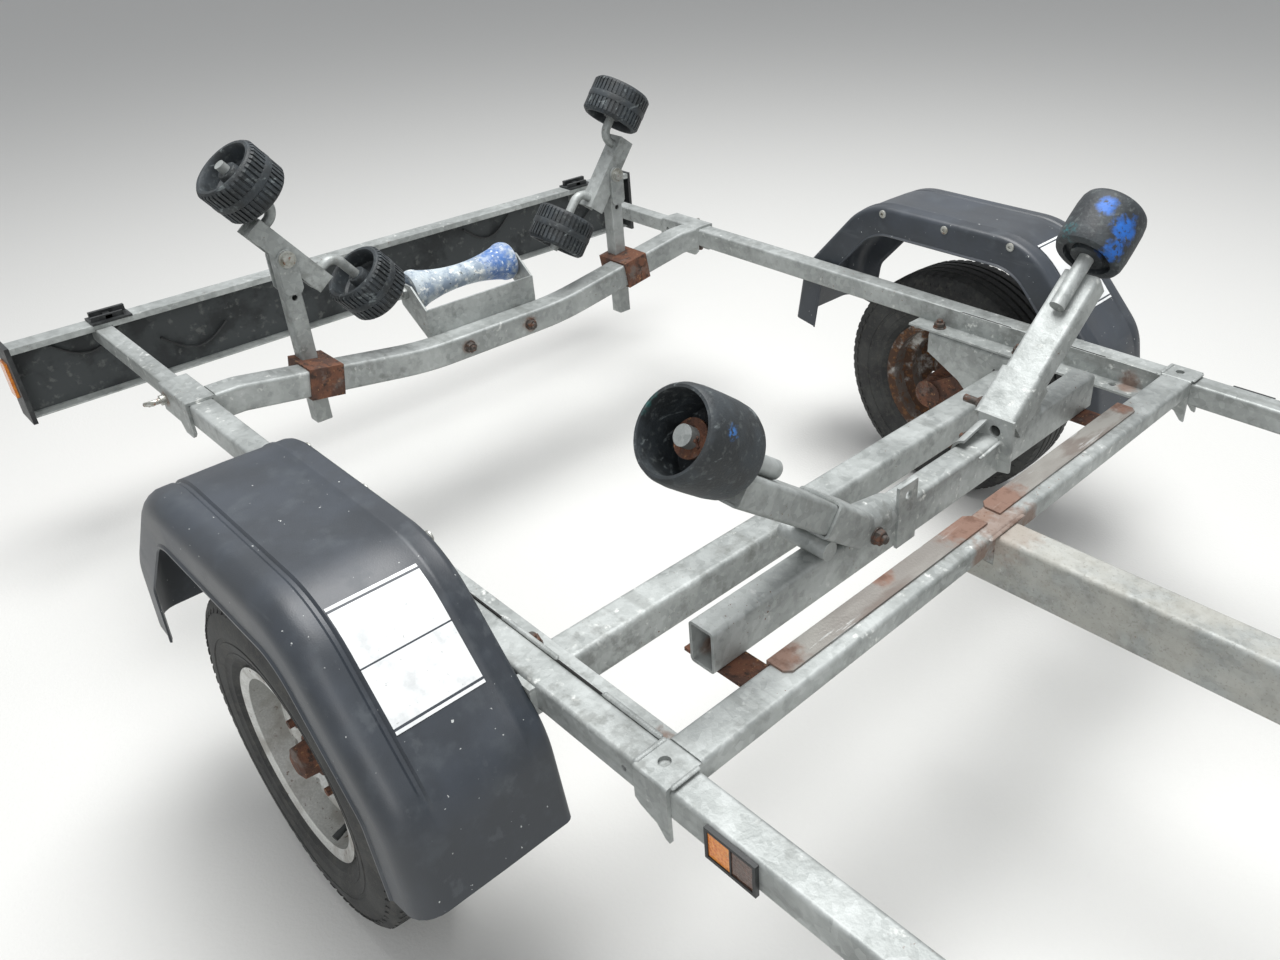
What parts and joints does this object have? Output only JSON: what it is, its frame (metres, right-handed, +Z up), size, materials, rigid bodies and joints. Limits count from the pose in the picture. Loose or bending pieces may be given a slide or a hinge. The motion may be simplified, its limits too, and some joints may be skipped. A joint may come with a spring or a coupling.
{
  "type": "boat trailer",
  "caption": "Galvanised boat trailer: rails into a drawbar, sprung axle with mudguards, keel, rocking and side rollers, jockey wheel, winch post and sliding light bar.",
  "frame": {"origin": "middle of the trailer's length and width, on the ground", "axes": "+X forward to the towing ball, +Y to the trailer's left, +Z up"},
  "size_m": [4.21, 1.604, 0.99],
  "materials": {
    "galvanised": "weathered hot-dip galvanising, matt grey with light wear",
    "weathered_strip": "thin galvanised strip with rust at its ends",
    "rusty_steel": "bare steel gone rusty",
    "zinc_hardware": "dull zinc plated fittings",
    "silver_paint": "silver painted wheel, rust at the beads",
    "tyre_rubber": "worn dusty tyre rubber",
    "mudguard_plastic": "dark blue-grey moulded plastic, satin",
    "roller_rubber": "dark grey roller rubber, scuffed",
    "worn_blue_roller": "blue roller, worn and marked",
    "black_plastic": "black end caps",
    "amber_lens": "amber reflector in a dark frame",
    "red_lens": "red lamp and reflector plastic",
    "coupling_steel": "zinc grey pressed coupling"
  },
  "bodies": {
    "chassis": {"rail_left": "galvanised", "rail_right": "galvanised", "drawbar": "galvanised", "rail_joint_plates": "galvanised", "front_cross_member": "galvanised", "front_saddles": "galvanised", "axle_angles": "galvanised", "axle_tube": "galvanised", "axle_plates": "galvanised", "roller_beam": "galvanised", "side_arms": "galvanised", "arm_sleeves": "galvanised", "rear_cross_member": "galvanised", "rear_saddles": "galvanised", "posts": "galvanised", "keel_bracket": "galvanised", "winch_post": "galvanised", "bow_stop": "galvanised", "jockey_outer_tube": "galvanised", "mudguard_feet": "galvanised", "cover_strips": "weathered_strip", "beam_bars": "rusty_steel", "post_clamps": "rusty_steel", "frame_bolts": "rusty_steel", "swing_arms": "rusty_steel", "clamp_screws": "zinc_hardware", "rocker_pins": "zinc_hardware", "winch_frame": "zinc_hardware", "mudguard_left": "mudguard_plastic", "mudguard_right": "mudguard_plastic", "side_reflectors_rail": "amber_lens", "coupling_head": "coupling_steel", "coupling_lever": "coupling_steel"},
    "light_board": {"light_bar": "galvanised", "extension_tubes": "galvanised", "light_bar_caps": "black_plastic", "side_reflectors_bar": "amber_lens", "rear_lamps": "red_lens"},
    "wheel_left": {"rim_left": "silver_paint", "tyre_left": "tyre_rubber", "hub_left": "rusty_steel"},
    "wheel_right": {"rim_right": "silver_paint", "tyre_right": "tyre_rubber", "hub_right": "rusty_steel"},
    "rocker_left_body": {"rocker_left": "galvanised"},
    "rocker_right_body": {"rocker_right": "galvanised"},
    "ribbed_left_outer": {"ribbed_roller_left_outer": "roller_rubber"},
    "ribbed_left_inner": {"ribbed_roller_left_inner": "roller_rubber"},
    "ribbed_right_outer": {"ribbed_roller_right_outer": "roller_rubber"},
    "ribbed_right_inner": {"ribbed_roller_right_inner": "roller_rubber"},
    "side_roller_left_body": {"side_roller_left": "worn_blue_roller"},
    "side_roller_right_body": {"side_roller_right": "roller_rubber"},
    "keel_roller_body": {"keel_roller": "worn_blue_roller"},
    "bow_roller_body": {"bow_roller": "roller_rubber"},
    "winch_drum_body": {"winch_drum": "zinc_hardware"},
    "jockey_leg": {"jockey_inner_tube": "galvanised"},
    "jockey_fork_body": {"jockey_fork": "galvanised"},
    "jockey_wheel_body": {"jockey_wheel": "roller_rubber"},
    "jockey_crank_body": {"jockey_crank": "galvanised"}
  },
  "joints": [
    {"name": "light_board_slide", "type": "slide", "parent": "chassis", "child": "light_board", "axis": [-1, 0, 0], "range_m": [-0.15, 0.4]},
    {"name": "wheel_left_spin", "type": "hinge", "parent": "chassis", "child": "wheel_left", "pos_m": [-0.931, 0.711, 0.243], "axis": [0, 1, 0], "continuous": true},
    {"name": "wheel_right_spin", "type": "hinge", "parent": "chassis", "child": "wheel_right", "pos_m": [-0.931, -0.711, 0.243], "axis": [0, 1, 0], "continuous": true},
    {"name": "rocker_left_tilt", "type": "hinge", "parent": "chassis", "child": "rocker_left_body", "pos_m": [-1.631, 0.366, 0.631], "axis": [1, 0, 0], "range_deg": [-28, 0]},
    {"name": "ribbed_left_outer_spin", "type": "hinge", "parent": "rocker_left_body", "child": "ribbed_left_outer", "pos_m": [-1.631, 0.39968, 0.76889], "axis": [0, 0.6074, 0.7944], "continuous": true},
    {"name": "ribbed_left_inner_spin", "type": "hinge", "parent": "rocker_left_body", "child": "ribbed_left_inner", "pos_m": [-1.631, 0.22354, 0.53851], "axis": [0, 0.6074, 0.7944], "continuous": true},
    {"name": "rocker_right_tilt", "type": "hinge", "parent": "chassis", "child": "rocker_right_body", "pos_m": [-1.631, -0.366, 0.646], "axis": [1, 0, 0], "range_deg": [0, 28]},
    {"name": "ribbed_right_outer_spin", "type": "hinge", "parent": "rocker_right_body", "child": "ribbed_right_outer", "pos_m": [-1.631, -0.39968, 0.78389], "axis": [0, -0.6074, 0.7944], "continuous": true},
    {"name": "ribbed_right_inner_spin", "type": "hinge", "parent": "rocker_right_body", "child": "ribbed_right_inner", "pos_m": [-1.631, -0.22354, 0.55351], "axis": [0, -0.6074, 0.7944], "continuous": true},
    {"name": "side_roller_left_spin", "type": "hinge", "parent": "chassis", "child": "side_roller_left_body", "pos_m": [-0.519, 0.42692, 0.73843], "axis": [0, 0.7955, 0.606], "continuous": true},
    {"name": "side_roller_right_spin", "type": "hinge", "parent": "chassis", "child": "side_roller_right_body", "pos_m": [-0.519, -0.42692, 0.73843], "axis": [0, -0.7955, 0.606], "continuous": true},
    {"name": "keel_roller_spin", "type": "hinge", "parent": "chassis", "child": "keel_roller_body", "pos_m": [-1.686, 0, 0.49], "axis": [0, 1, 0], "continuous": true},
    {"name": "bow_roller_spin", "type": "hinge", "parent": "chassis", "child": "bow_roller_body", "pos_m": [1.114, 0, 0.948], "axis": [0, 1, 0], "continuous": true},
    {"name": "winch_crank_turn", "type": "hinge", "parent": "chassis", "child": "winch_drum_body", "pos_m": [1.132, 0, 0.838], "axis": [0, 1, 0], "continuous": true},
    {"name": "jockey_height", "type": "slide", "parent": "chassis", "child": "jockey_leg", "axis": [0, 0, 1], "range_m": [-0.03, 0.09]},
    {"name": "jockey_swivel", "type": "hinge", "parent": "jockey_leg", "child": "jockey_fork_body", "pos_m": [1.629, 0.075, 0.23], "axis": [0, 0, 1], "continuous": true},
    {"name": "jockey_wheel_spin", "type": "hinge", "parent": "jockey_fork_body", "child": "jockey_wheel_body", "pos_m": [1.584, 0.075, 0.1], "axis": [0, 1, 0], "continuous": true},
    {"name": "jockey_crank_turn", "type": "hinge", "parent": "chassis", "child": "jockey_crank_body", "pos_m": [1.629, 0.075, 0.715], "axis": [0, 0, 1], "continuous": true}
  ]
}
